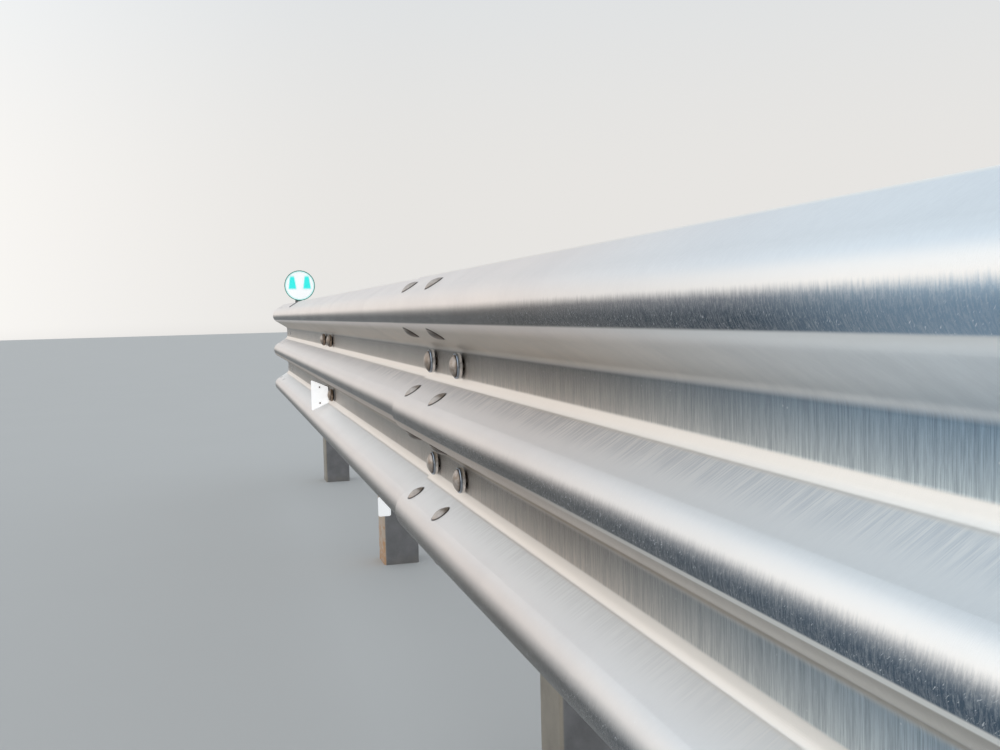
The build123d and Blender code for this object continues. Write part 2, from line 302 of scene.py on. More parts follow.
def specks():
    """Sparse small spots, such as zinc nodules and grit."""
    group, given, out = effect(
        "Specks", (("Vector", None), ("Scale", 160.0), ("Share", 0.05), ("Size", 0.22)), ("Mask",)
    )
    cells = put(group, "ShaderNodeTexVoronoi", feature="F1")
    wire(group, given["Vector"], cells.inputs["Vector"])
    wire(group, given["Scale"], cells.inputs["Scale"])
    chosen = put(group, "ShaderNodeSeparateColor")
    wire(group, cells.outputs["Color"], chosen.inputs[0])
    picked = maths(group, "LESS_THAN", chosen.outputs[0], given["Share"])
    spot = ramp(group, cells.outputs["Distance"], given["Size"], 0.0)
    wire(group, maths(group, "MULTIPLY", picked, spot), out["Mask"])
    return group


def scratches():
    """Thin slanting handling scratches."""
    group, given, out = effect(
        "Scratches", (("Vector", None), ("Along", 70.0), ("Lean", 0.6), ("Share", 0.5)), ("Mask",)
    )
    turned = stretched(group, given["Vector"], (given["Along"], 3.0, 3.0), given["Lean"])
    line = noise(group, turned, 1.0, 1.0, 0.4)
    thin = maths(group, "ABSOLUTE", maths(group, "SUBTRACT", line, 0.5))
    gate = ramp(group, noise(group, given["Vector"], 23.0, 2.0), given["Share"], 0.72)
    wire(group, maths(group, "MULTIPLY", ramp(group, thin, 0.012, 0.0), gate), out["Mask"])
    return group


def wave_tone():
    """Where a point of the road side lies on the wave, counted in crests and valleys."""
    group, given, out = effect(
        "Wave tone",
        (("Vector", None), ("Normal", None), ("Centre", 0.74), ("Pitch", 0.194), ("Ragged", 0.002)),
        (
            "Band",
            "Flat",
            "Rise",
            "Slope",
            "High",
            "Under",
            "Fold",
            "Soften",
            "Brow",
            "Foot highlight",
            "Belly",
            "Lit",
            "Fall",
            "Lower",
            "Seat",
            "Road",
        ),
    )
    parts = put(group, "ShaderNodeSeparateXYZ")
    wire(group, given["Vector"], parts.inputs[0])
    facing = put(group, "ShaderNodeSeparateXYZ")
    wire(group, given["Normal"], facing.inputs[0])
    road = maths(group, "LESS_THAN", facing.outputs[1], -0.3)
    wire(group, road, out["Road"])
    waves = maths(
        group, "DIVIDE", maths(group, "SUBTRACT", parts.outputs[2], given["Centre"]), given["Pitch"]
    )
    crest = maths(group, "ROUND", waves)
    above = maths(group, "MULTIPLY", maths(group, "SUBTRACT", waves, crest), given["Pitch"])
    lower = maths(group, "LESS_THAN", crest, 0.5)
    wire(group, lower, out["Lower"])
    # Painted reflection of the dark road under each crest: a soft streaky top edge and a clean foot
    hair = stretched(group, given["Vector"], (420.0, 25.0, 25.0), 0.20)
    wander = maths(group, "SUBTRACT", noise(group, hair, 1.0, 4.0, 0.7), 0.5)
    ragged = maths(group, "MULTIPLY_ADD", wander, given["Ragged"], above)
    top = maths(group, "MINIMUM", maths(group, "MULTIPLY_ADD", crest, -0.0099, 0.0135), 0.0150)
    foot = ramp(group, parts.outputs[0], 0.3, 0.8, -0.0138, -0.0112)
    outer_foot = maths(group, "MULTIPLY_ADD", crest, 0.0032, -0.0268)
    outer = maths(group, "ABSOLUTE", crest)
    foot = maths(group, "MULTIPLY_ADD", outer, maths(group, "SUBTRACT", outer_foot, foot), foot)
    soft = ramp(group, parts.outputs[0], 0.2, 1.0, -0.0160, -0.0065)
    soft = maths(group, "MULTIPLY_ADD", maths(group, "MINIMUM", crest, 0.0), 0.010, soft)
    under_top = ramp(group, maths(group, "SUBTRACT", ragged, top), 0.0040, soft)
    over_foot = ramp(group, maths(group, "SUBTRACT", above, foot), -0.0018, 0.0014)
    band = maths(group, "MULTIPLY", under_top, over_foot)
    wire(group, maths(group, "MULTIPLY", band, road), out["Band"])
    start = maths(group, "MULTIPLY_ADD", lower, 0.0042, -0.0052)
    end = maths(group, "MULTIPLY_ADD", lower, 0.0047, -0.0212)
    wire(group, ramp(group, maths(group, "SUBTRACT", above, top), start, end), out["Fall"])
    # Valley flats, from 0 at their foot to 1 at their head
    step = maths(group, "FLOOR", waves)
    middle = maths(group, "ADD", step, 0.5)
    rise = maths(group, "MULTIPLY", maths(group, "SUBTRACT", waves, middle), given["Pitch"])
    flat = ramp(group, maths(group, "ABSOLUTE", rise), 0.0275, 0.0195)
    wire(group, maths(group, "MULTIPLY", flat, road), out["Flat"])
    wire(group, ramp(group, rise, -0.021, 0.023, smooth=False), out["Rise"])
    # Slopes above and below each crest, and the fold at each flat's foot
    sloping = maths(group, "MULTIPLY", maths(group, "SUBTRACT", 1.0, flat), road)
    slope = maths(group, "MULTIPLY", ramp(group, above, 0.018, 0.060), sloping)
    wire(group, slope, out["Slope"])
    wire(group, ramp(group, above, 0.036, 0.054), out["High"])
    under = maths(group, "MULTIPLY", ramp(group, above, -0.024, -0.042), sloping)
    wire(group, under, out["Under"])
    brow = maths(group, "ABSOLUTE", maths(group, "SUBTRACT", maths(group, "SUBTRACT", above, top), 0.003))
    wire(group, maths(group, "MULTIPLY", ramp(group, brow, 0.018, 0.006), road), out["Brow"])
    # A thin painted highlight just below the band's foot on the middle and lower crests.
    foot_highlight = maths(group, "ABSOLUTE", maths(group, "ADD", maths(group, "SUBTRACT", above, foot), 0.0022))
    foot_highlight = maths(group, "MULTIPLY", ramp(group, foot_highlight, 0.0030, 0.0012), lower)
    wire(group, maths(group, "MULTIPLY", foot_highlight, road), out["Foot highlight"])
    fold = maths(group, "ABSOLUTE", maths(group, "ADD", rise, 0.0285))
    wire(group, maths(group, "MULTIPLY", ramp(group, fold, 0.0088, 0.0055), road), out["Fold"])
    # Height of the fold's softer rounding, in metres, over the sheet's sharp corner
    past = maths(group, "DIVIDE", maths(group, "ADD", rise, 0.0225), -0.010)
    past = maths(group, "POWER", maths(group, "MAXIMUM", past, 0.0), 2.5)
    soften = maths(group, "SMOOTH_MAX", maths(group, "MULTIPLY", past, -0.0048), -0.0064, 0.0030)
    soften = maths(group, "MULTIPLY_ADD", step, 0.0064, soften)
    wire(group, maths(group, "MULTIPLY", soften, road), out["Soften"])
    belly = maths(group, "SUBTRACT", ramp(group, above, 0.0, -0.001), over_foot, clamp=True)
    belly = maths(group, "MULTIPLY", belly, sloping)
    wire(group, maths(group, "MULTIPLY", belly, lower), out["Belly"])
    lit = ramp(group, maths(group, "SUBTRACT", above, foot), -0.014, -0.002)
    lit = maths(group, "MULTIPLY", lit, maths(group, "SUBTRACT", belly, lower, clamp=True))
    wire(group, lit, out["Lit"])
    # Painted contact shade in a ring where each splice head sits on a slope
    along = maths(group, "SUBTRACT", maths(group, "ABSOLUTE", parts.outputs[0]), BOLT_COLUMN)
    across = maths(group, "SUBTRACT", maths(group, "ABSOLUTE", above), ROW_OFFSET)
    across = maths(group, "DIVIDE", across, cos(FLANK))
    away = maths(group, "ADD", maths(group, "MULTIPLY", along, along), maths(group, "MULTIPLY", across, across))
    wire(group, ramp(group, maths(group, "SQRT", away), 0.0205, 0.0180), out["Seat"])
    return group


def rust_stain():
    """Stains that rise unevenly from the ground."""
    group, given, out = effect(
        "Rust stain", (("Vector", None), ("Reach", 0.12), ("Scale", 26.0)), ("Mask", "Soil")
    )
    parts = put(group, "ShaderNodeSeparateXYZ")
    wire(group, given["Vector"], parts.inputs[0])
    cloud = noise(group, given["Vector"], given["Scale"], 5.0, 0.65)
    fall = maths(group, "DIVIDE", parts.outputs[2], given["Reach"])
    level = maths(group, "SUBTRACT", maths(group, "MULTIPLY", cloud, 2.2), fall)
    wire(group, ramp(group, level, 0.75, 1.2), out["Mask"])
    soil = maths(group, "MULTIPLY_ADD", cloud, 0.8, maths(group, "MULTIPLY", fall, -0.45))
    wire(group, ramp(group, soil, 0.0, 0.55), out["Soil"])
    return group


def reflective_cells():
    """The small cells of reflective sheeting: walls between them and their slight bulge."""
    group, given, out = effect(
        "Reflective cells", (("Vector", None), ("Scale", 260.0)), ("Wall", "Bulge")
    )
    cells = put(group, "ShaderNodeTexVoronoi", feature="DISTANCE_TO_EDGE")
    wire(group, given["Vector"], cells.inputs["Vector"])
    wire(group, given["Scale"], cells.inputs["Scale"])
    cells.inputs["Randomness"].default_value = 0.12
    wire(group, ramp(group, cells.outputs["Distance"], 0.10, 0.03), out["Wall"])
    wire(group, ramp(group, cells.outputs["Distance"], 0.0, 0.35), out["Bulge"])
    return group


EFFECTS = {}


def use(tree, name, vector, **values):
    """Places a shared effect in a material and returns its outputs."""
    if name not in EFFECTS:
        EFFECTS[name] = {
            "streaks": zinc_streaks,
            "clouds": zinc_clouds,
            "specks": specks,
            "scratches": scratches,
            "rust": rust_stain,
            "wave": wave_tone,
            "cells": reflective_cells,
        }[name]()
    node = put(tree, "ShaderNodeGroup", node_tree=EFFECTS[name])
    wire(tree, vector, node.inputs["Vector"])
    for key, value in values.items():
        wire(tree, value, node.inputs[key.replace("_", " ").capitalize()])
    return node.outputs


def new_material(name):
    """A material with its shader and the object's own coordinates: (material, tree, shader, vector)."""
    material = bpy.data.materials.new(name)
    material.use_nodes = True
    tree = material.node_tree
    shader = tree.nodes["Principled BSDF"]
    place = put(tree, "ShaderNodeTexCoord")
    return material, tree, shader, place.outputs["Object"]


def bump(tree, shader, height, strength, distance):
    """Feeds a height to the shader's normal."""
    node = put(tree, "ShaderNodeBump")
    node.inputs["Strength"].default_value = strength
    node.inputs["Distance"].default_value = distance
    wire(tree, height, node.inputs["Height"])
    wire(tree, node.outputs[0], shader.inputs["Normal"])


def rail_material(colours):
    """Hot-dip galvanised rail sheet, streaked across its length, with a painted reflection of the dark road
    under each crest and painted light and shade on its folds and flats.
    """
    material, tree, shader, place = new_material("galvanised_rail_sheet")
    facing = put(tree, "ShaderNodeTexCoord").outputs["Normal"]
    wave = use(tree, "wave", place, normal=facing, centre=CENTRE_Z, pitch=WAVE_PITCH, ragged=0.007)
    fine = use(tree, "streaks", place, along=2000.0, across=110.0, lean=0.0, softness=0.45)
    middling = use(tree, "streaks", place, along=800.0, across=40.0, lean=0.0, softness=0.45)
    broad = use(tree, "streaks", place, along=300.0, across=7.0, lean=0.0, softness=0.40)
    upright = use(tree, "streaks", place, along=430.0, across=14.0, lean=0.0, softness=0.40)
    slants = use(tree, "streaks", place, along=700.0, across=190.0, lean=0.5, softness=0.40)
    smears = use(tree, "streaks", place, along=60.0, across=9.0, lean=0.8, softness=0.5)
    clouds = use(tree, "clouds", place, patch=5.0, grain=1100.0)
    bright = use(tree, "specks", place, scale=170.0, share=0.05, size=0.20)["Mask"]
    dark = use(tree, "specks", place, scale=95.0, share=0.012, size=0.10)["Mask"]
    parts = put(tree, "ShaderNodeSeparateXYZ")
    wire(tree, place, parts.inputs[0])
    # Every near-far mix below paints reflected light: brighter and bluer towards the near end.
    near = ramp(tree, parts.outputs[0], 0.5, 1.5)
    zinc = mix(tree, near, colours.zinc_far, colours.zinc_near)
    zinc = mix(tree, wave["Road"], colours.zinc_back, zinc)
    dim = mix(tree, 1.0, zinc, colours.zinc_dull, "MULTIPLY")
    tone = maths(tree, "MULTIPLY_ADD", clouds["Patch"], 0.4, maths(tree, "MULTIPLY", fine["Streak"], 0.25))
    zinc = mix(tree, tone, zinc, dim)
    # Slopes: bright and dull streaks straight across, which fade out towards the crest, where the slope grows
    # lighter as painted light
    light = mix(tree, near, colours.slope_far, colours.slope_near)
    shade = mix(tree, near, colours.slope_shade, colours.slope_shade_near)
    shade = mix(tree, 1.0, light, shade, "MULTIPLY")
    lines = maths(tree, "MULTIPLY_ADD", broad["Streak"], 0.20, maths(tree, "MULTIPLY", broad["Fine"], 0.60))
    lines = maths(tree, "MULTIPLY_ADD", middling["Fine"], 0.45, lines)
    lines = maths(tree, "MULTIPLY", lines, wave["High"])
    lowest = maths(tree, "LESS_THAN", parts.outputs[2], CENTRE_Z - WAVE_PITCH / 2)
    light = mix(tree, lowest, light, colours.slope_low)
    shade = mix(tree, maths(tree, "MULTIPLY", lowest, 0.75), shade, light)
    brushed = mix(tree, lines, light, shade)
    lower_slope = maths(tree, "MULTIPLY", wave["Slope"], wave["Lower"])
    zinc = mix(tree, lower_slope, zinc, brushed)
    smeared = maths(tree, "MULTIPLY", smears["Streak"], wave["Under"])
    zinc = mix(tree, maths(tree, "MULTIPLY", smeared, 0.25), zinc, colours.streak)
    # Valley flats: fine upright streaks, and painted shade that makes them darkest along the top, under the
    # crest above
    head = mix(tree, near, colours.flat_high, colours.flat_high_near)
    foot = mix(tree, near, colours.flat_low, colours.flat_low_near)
    lower_valley = maths(tree, "LESS_THAN", parts.outputs[2], CENTRE_Z)
    head = mix(tree, maths(tree, "MULTIPLY", lower_valley, 0.30), head, foot)
    deep = mix(tree, maths(tree, "POWER", wave["Rise"], 0.72), foot, head)
    hairs = maths(tree, "MULTIPLY_ADD", upright["Fine"], 0.55, maths(tree, "MULTIPLY", middling["Fine"], 0.45))
    hairs = mix(tree, hairs, (1.0, 1.0, 1.0), (0.60, 0.62, 0.65))
    pale = mix(tree, near, (1.0, 0.90, 0.84), (0.93, 0.98, 1.0))
    deep = mix(tree, 1.0, mix(tree, 1.0, pale, deep, "MULTIPLY"), hairs, "MULTIPLY")
    zinc = mix(tree, wave["Flat"], zinc, deep)
    # Painted shade: towards the far end the bands, flats and under-slopes darken.
    low = maths(tree, "MAXIMUM", wave["Band"], maths(tree, "MAXIMUM", wave["Flat"], wave["Under"]))
    low = maths(tree, "MULTIPLY", low, maths(tree, "SUBTRACT", 1.0, near))
    zinc = mix(tree, low, zinc, mix(tree, 1.0, zinc, colours.far_painted_shade, "MULTIPLY"))
    # Lower half of each crest: a streaky painted reflection of the dark road, with slanting strokes and bright
    # specks
    reflection = maths(tree, "MULTIPLY_ADD", slants["Fine"], -0.24, 1.18)
    reflection = maths(tree, "MULTIPLY_ADD", middling["Fine"], -0.16, reflection)
    reflection = maths(tree, "MULTIPLY_ADD", clouds["Grain"], -0.12, reflection, clamp=True)
    reflection_top = mix(tree, near, colours.band_far, colours.band)
    # On the middle and lowest crests the painted reflection is paler at its top and less dark at its foot.
    thin = maths(tree, "MULTIPLY_ADD", lowest, 0.12, maths(tree, "MULTIPLY", wave["Lower"], 0.28))
    reflection_top = mix(tree, thin, reflection_top, (1.0, 1.0, 1.0))
    reflection_foot = mix(tree, near, colours.band_foot_far, colours.band_foot)
    thick = maths(tree, "MULTIPLY_ADD", lowest, -0.12, maths(tree, "MULTIPLY_ADD", wave["Lower"], -0.16, 1.0))
    thick = maths(tree, "MULTIPLY", wave["Fall"], thick)
    reflection_tone = mix(tree, thick, reflection_top, reflection_foot)
    # At the top crest's near end the painted reflection is of paler, bluer sky.
    open_end = maths(tree, "SUBTRACT", ramp(tree, parts.outputs[0], 1.15, 1.42), wave["Lower"], clamp=True)
    reflection_tone = mix(tree, open_end, reflection_tone, colours.band_near)
    reflection = mix(tree, reflection, (1.0, 1.0, 1.0), reflection_tone)
    # Painted highlight just over the band at the near end, painted shade there at the far end.
    crest_light = mix(tree, near, colours.brow_far, colours.brow)
    painted_light = maths(tree, "MAXIMUM", near, maths(tree, "MULTIPLY", wave["Lower"], 0.5))
    zinc = mix(tree, maths(tree, "MULTIPLY", wave["Brow"], painted_light), zinc, crest_light)
    zinc = mix(tree, wave["Band"], zinc, mix(tree, 1.0, zinc, reflection, "MULTIPLY"))
    # Painted shade below the band of the middle and lower crests.
    zinc = mix(tree, wave["Belly"], zinc, mix(tree, 1.0, zinc, colours.deep, "MULTIPLY"))
    # Thin painted highlight just below the band's foot on the middle and lower crests.
    zinc = mix(tree, maths(tree, "MULTIPLY", wave["Foot highlight"], near), zinc, (1.0, 1.0, 0.97))
    lit = maths(tree, "MULTIPLY", ramp(tree, parts.outputs[0], 0.8, 1.3), wave["Lit"])
    zinc = mix(tree, lit, zinc, (0.98, 1.0, 1.0))
    # Painted highlight along the fold at each valley's foot.
    painted_light = mix(tree, near, colours.fold_highlight_far, colours.fold_highlight_near)
    zinc = mix(tree, maths(tree, "MULTIPLY", wave["Fold"], 0.95), zinc, painted_light)
    # Painted glints in the bands, small marks, and painted contact shade where the splice heads sit
    glints = noise(tree, stretched(tree, place, (800.0, 320.0, 320.0), -0.9), 1.0, 1.0)
    glints = maths(tree, "MULTIPLY", ramp(tree, glints, 0.66, 0.76), wave["Band"])
    glints = maths(tree, "MULTIPLY", glints, ramp(tree, wave["Fall"], 0.0, 0.9, 0.2, 0.75))
    zinc = mix(tree, glints, zinc, (0.90, 0.93, 0.97))
    zinc = mix(tree, maths(tree, "MULTIPLY", bright, 0.5), zinc, (0.93, 0.94, 0.95))
    zinc = mix(tree, maths(tree, "MULTIPLY", dark, 0.5), zinc, (0.22, 0.22, 0.22))
    zinc = mix(tree, maths(tree, "MULTIPLY", wave["Seat"], 0.85), zinc, (0.10, 0.09, 0.08))
    wire(tree, zinc, shader.inputs["Base Color"])
    bare = maths(tree, "MULTIPLY_ADD", maths(tree, "MULTIPLY", lower_slope, near), -0.42, 0.72)
    bare = maths(tree, "MAXIMUM", bare, maths(tree, "MULTIPLY", wave["Fold"], 0.80))
    wire(tree, bare, shader.inputs["Metallic"])
    band_and_flat = maths(tree, "MAXIMUM", wave["Band"], wave["Flat"])
    dull = maths(tree, "MULTIPLY_ADD", fine["Fine"], 0.05, 0.285)
    dull = maths(tree, "MULTIPLY_ADD", wave["Slope"], 0.22, dull)
    dull = maths(tree, "MULTIPLY_ADD", wave["Under"], 0.14, dull)
    dull = maths(tree, "MAXIMUM", maths(tree, "MULTIPLY_ADD", wave["Fold"], -0.15, dull), 0.285)
    dull = maths(tree, "MULTIPLY_ADD", clouds["Patch"], 0.04, dull)
    wire(tree, dull, shader.inputs["Roughness"])
    height = maths(tree, "MULTIPLY_ADD", fine["Fine"], 0.5, maths(tree, "MULTIPLY", clouds["Grain"], 0.3))
    height = maths(tree, "MULTIPLY_ADD", bright, 0.6, height)
    height = maths(tree, "MULTIPLY", height, maths(tree, "MULTIPLY_ADD", band_and_flat, 0.5, 0.5))
    height = maths(tree, "MULTIPLY_ADD", height, 0.00014, wave["Soften"])
    bump(tree, shader, height, 1.0, 1.0)
    return material


def support_material(name, zinc_colour, colours, lit_and_weathered):
    """Duller zinc of posts, caps and spacers, darkened as painted shade, with painted light and stains on the
    posts' road side.
    """
    material, tree, shader, place = new_material(name)
    streaks = use(tree, "streaks", place, along=60.0, across=12.0, lean=0.0, softness=0.5)
    clouds = use(tree, "clouds", place, patch=14.0, grain=700.0)
    bright = use(tree, "specks", place, scale=120.0, share=0.04, size=0.22)["Mask"]
    darker = tuple(0.72 * c for c in zinc_colour)
    tone = maths(
        tree,
        "MULTIPLY_ADD",
        clouds["Patch"],
        0.6,
        maths(tree, "MULTIPLY", streaks["Streak"], 0.4),
    )
    zinc = mix(tree, tone, darker, zinc_colour)
    zinc = mix(tree, maths(tree, "MULTIPLY", bright, 0.3), zinc, (0.60, 0.61, 0.62))
    dull = maths(tree, "MULTIPLY_ADD", clouds["Grain"], 0.12, 0.42)
    height = maths(tree, "MULTIPLY_ADD", clouds["Patch"], 0.5, clouds["Grain"])
    if lit_and_weathered:
        # The posts' road side is lighter and warmer as painted light; their other faces keep the darker zinc as
        # painted shade.
        facing = put(tree, "ShaderNodeSeparateXYZ")
        wire(tree, put(tree, "ShaderNodeTexCoord").outputs["Normal"], facing.inputs[0])
        road = ramp(tree, facing.outputs[1], -0.4, -0.7)
        spot = put(tree, "ShaderNodeSeparateXYZ")
        wire(tree, place, spot.inputs[0])
        stained = maths(tree, "COMPARE", spot.outputs[0], POST_XS[1], 0.3)
        stained = maths(tree, "MULTIPLY", stained, road)
        pale = mix(tree, tone, tuple(0.80 * c for c in colours.post_road), colours.post_road)
        zinc = mix(tree, road, zinc, pale)
        zinc = mix(tree, maths(tree, "MULTIPLY", stained, 0.85), zinc, colours.post_stained)
        splash = use(tree, "rust", place, reach=0.05, scale=24.0)
        tall = use(tree, "rust", place, reach=0.45, scale=30.0)
        zinc = mix(tree, maths(tree, "MULTIPLY", splash["Soil"], 0.35), zinc, (0.30, 0.27, 0.23))
        rust = maths(tree, "MULTIPLY", tall["Mask"], stained)
        zinc = mix(tree, maths(tree, "MULTIPLY", rust, 0.75), zinc, colours.rust)
        wire(tree, ramp(tree, rust, 0.0, 1.0, 0.80, 0.20), shader.inputs["Metallic"])
        dull = maths(tree, "MULTIPLY_ADD", rust, 0.3, dull)
        height = maths(tree, "MULTIPLY_ADD", rust, 0.8, height)
    else:
        shader.inputs["Metallic"].default_value = 0.80
    wire(tree, zinc, shader.inputs["Base Color"])
    wire(tree, dull, shader.inputs["Roughness"])
    bump(tree, shader, height, 0.3, 0.0006)
    return material


def bolt_material(name, colours, tarnish, seam=0.0, seam_width=0.0014):
    """Zinc-plated bolt steel with brown tarnish, a little different on each bolt, and painted shade on faces
    turned down and along a seam.
    """
    material, tree, shader, place = new_material(name)
    clouds = use(tree, "clouds", place, patch=70.0, grain=1600.0)
    own = put(tree, "ShaderNodeAttribute", attribute_name="tone").outputs["Fac"]
    level = put(tree, "ShaderNodeAttribute", attribute_name="level").outputs["Fac"]
    facing = put(tree, "ShaderNodeSeparateXYZ")
    wire(tree, put(tree, "ShaderNodeTexCoord").outputs["Normal"], facing.inputs[0])
    share = maths(tree, "MULTIPLY_ADD", clouds["Patch"], 0.6, maths(tree, "MULTIPLY", own, 0.4))
    share = maths(tree, "MULTIPLY", share, tarnish)
    metal = mix(tree, share, colours.bolt_light, colours.bolt_dark)
    # Painted shade on faces turned down.
    under = maths(tree, "MULTIPLY", ramp(tree, facing.outputs[2], -0.30, -0.70), 0.75)
    metal = mix(tree, under, metal, colours.bolt_shade)
    # Painted contact shade in a band along the seam at the given height.
    off = maths(tree, "ABSOLUTE", maths(tree, "SUBTRACT", level, seam))
    seam_shade = ramp(tree, off, seam_width, seam_width * 0.3)
    metal = mix(tree, maths(tree, "MULTIPLY", seam_shade, 0.9), metal, colours.bolt_shade)
    wire(tree, metal, shader.inputs["Base Color"])
    shader.inputs["Metallic"].default_value = 0.85
    wire(
        tree, maths(tree, "MULTIPLY_ADD", clouds["Grain"], 0.15, 0.28), shader.inputs["Roughness"]
    )
    bump(tree, shader, clouds["Grain"], 0.25, 0.0003)
    return material


def washer_material(colours, lift, top):
    """Washer rim with a painted highlight, a painted bluish reflection along its front edge and painted black
    shade underneath.
    """
    material, tree, shader, place = new_material("valley_washer_zinc")
    clouds = use(tree, "clouds", place, patch=90.0, grain=1600.0)
    level = put(tree, "ShaderNodeAttribute", attribute_name="level").outputs["Fac"]
    # Painted bluish reflection along the rim's front edge.
    front_reflection = ramp(tree, level, top - 0.0046, top - 0.0036)
    own = put(tree, "ShaderNodeAttribute", attribute_name="tone").outputs["Fac"]
    metal = mix(tree, front_reflection, colours.washer_highlight, colours.washer_reflection)
    metal = mix(tree, ramp(tree, own, 1.0, 2.0), metal, colours.bolt_dark)
    metal = mix(tree, maths(tree, "MULTIPLY", clouds["Patch"], 0.15), metal, colours.bolt_dark)
    # Painted black shade under the rim.
    metal = mix(tree, ramp(tree, level, lift + 0.0004, lift), metal, (0.02, 0.02, 0.022))
    wire(tree, metal, shader.inputs["Base Color"])
    wire(tree, ramp(tree, level, lift, lift + 0.0006), shader.inputs["Metallic"])
    wire(tree, maths(tree, "MULTIPLY_ADD", clouds["Grain"], 0.08, 0.14), shader.inputs["Roughness"])
    bump(tree, shader, clouds["Grain"], 0.10, 0.0002)
    return material


def sheeting_material(name, colours, glow, patches=False):
    """White reflective sheeting with fine cells, the marker's cyan patches if wanted, and a painted glow."""
    material, tree, shader, place = new_material(name)
    cells = use(tree, "cells", place, scale=260.0)
    clouds = use(tree, "clouds", place, patch=30.0, grain=1500.0)
    paint = mix(tree, maths(tree, "MULTIPLY", cells["Wall"], 0.16), colours.sheeting, (0.55, 0.6, 0.62))
    paint = mix(tree, maths(tree, "MULTIPLY", clouds["Patch"], 0.06), paint, (0.60, 0.62, 0.60))
    if patches:
        centre = (DISC[0] + DISC[1]) / 2
        parts = put(tree, "ShaderNodeSeparateXYZ")
        wire(tree, place, parts.inputs[0])
        radius = (DISC[1].y - DISC[0].y) / 2
        across = maths(tree, "DIVIDE", maths(tree, "SUBTRACT", parts.outputs[1], centre.y), radius)
        up = maths(tree, "DIVIDE", maths(tree, "SUBTRACT", parts.outputs[2], centre.z), radius)
        side = maths(tree, "ABSOLUTE", across)
        reach = ramp(tree, up, -0.20, 0.62, 0.25, 0.13, smooth=False)
        wide = maths(tree, "SUBTRACT", maths(tree, "ABSOLUTE", maths(tree, "SUBTRACT", side, 0.48)), reach)
        patch = maths(tree, "MULTIPLY", ramp(tree, wide, 0.06, -0.05), ramp(tree, up, -0.32, -0.14))
        patch = maths(tree, "MULTIPLY", patch, ramp(tree, up, 0.74, 0.50))
        far = maths(tree, "POWER", side, 2.0)
        far = maths(tree, "SQRT", maths(tree, "ADD", far, maths(tree, "POWER", up, 2.0)))
        halo = maths(tree, "MULTIPLY", ramp(tree, far, 0.84, 0.95), 0.45)
        paint = mix(tree, maths(tree, "MAXIMUM", patch, halo), paint, colours.marker_patch)
    wire(tree, paint, shader.inputs["Base Color"])
    # The emission is a painted glow: the sheeting gives off light of its own.
    wire(tree, paint, shader.inputs["Emission Color"])
    shader.inputs["Emission Strength"].default_value = glow
    wire(
        tree, maths(tree, "MULTIPLY_ADD", clouds["Grain"], 0.08, 0.22), shader.inputs["Roughness"]
    )
    shader.inputs["Coat Weight"].default_value = 0.4
    bump(tree, shader, cells["Bulge"], 0.15, 0.0003)
    return material


def pan_material(colours):
    """Satin green pan of the round marker, scuffed and a little faded."""
    material, tree, shader, place = new_material("marker_pan_green")
    clouds = use(tree, "clouds", place, patch=40.0, grain=1200.0)
    scuffs = use(tree, "scratches", place, along=160.0, lean=0.3, share=0.45)["Mask"]
    faded = tuple(min(1.0, 1.5 * c + 0.04) for c in colours.marker_rim)
    paint = mix(tree, clouds["Patch"], colours.marker_rim, faded)
    paint = mix(tree, maths(tree, "MULTIPLY", scuffs, 0.5), paint, (0.45, 0.60, 0.55))
    wire(tree, paint, shader.inputs["Base Color"])
    wire(tree, maths(tree, "MULTIPLY_ADD", clouds["Grain"], 0.15, 0.32), shader.inputs["Roughness"])
    bump(tree, shader, clouds["Grain"], 0.15, 0.0002)
    return material


# Fastener shapes, each made on the Z axis with the contact face at zero


def spun(bm, outline, segments):
    """Turns an outline of (radius, height) points about Z into a closed shell."""
    corners = [bm.verts.new((radius, 0, height)) for radius, height in outline]
    edges = [bm.edges.new(pair) for pair in zip(corners, corners[1:])]
    bmesh.ops.spin(
        bm,
        geom=corners + edges,
        cent=(0, 0, 0),
        axis=(0, 0, 1),
        dvec=(0, 0, 0),
        angle=2 * pi,
        steps=segments,
        use_merge=True,
        use_duplicate=False,
    )


def arc(radius, height, start, steps):
    """Dome outline from the rim up to the axis: a crown of that radius and height."""
    ball = (radius**2 + height**2) / (2 * height)
    top = start + height
    widest = atan2(radius, ball - height)
    return [
        (ball * sin(widest * (1 - s / steps)), top - ball + ball * cos(widest * (1 - s / steps)))
        for s in range(steps + 1)
    ]


def button_head(bm, radius, dome, rim, segments):
    """Round head: a low rim with a rounded corner under a dome."""
    outline = [(0, 0), (radius * 0.97, 0), (radius, rim * 0.25), (radius, rim * 0.7)]
    outline += arc(radius * 0.985, dome - rim, rim, 9)
    spun(bm, outline, segments)


def threaded_end(bm, radius, start, end, pitch):
    """Bolt shank down to its threaded end, with a turned ridge for each turn of the thread."""
    outline = [(0, start), (radius, start)]
    depth = 0.55 * pitch
    turns = int(min(20 * MM, abs(end - start)) / pitch)
    base = end + turns * pitch + pitch
    outline.append((radius, base))
    for turn in range(turns):
        level = base - pitch * turn
        outline += [(radius - depth, level - pitch * 0.5), (radius, level - pitch)]
    outline += [(radius - depth, end), (0, end)]
    spun(bm, outline, 20)


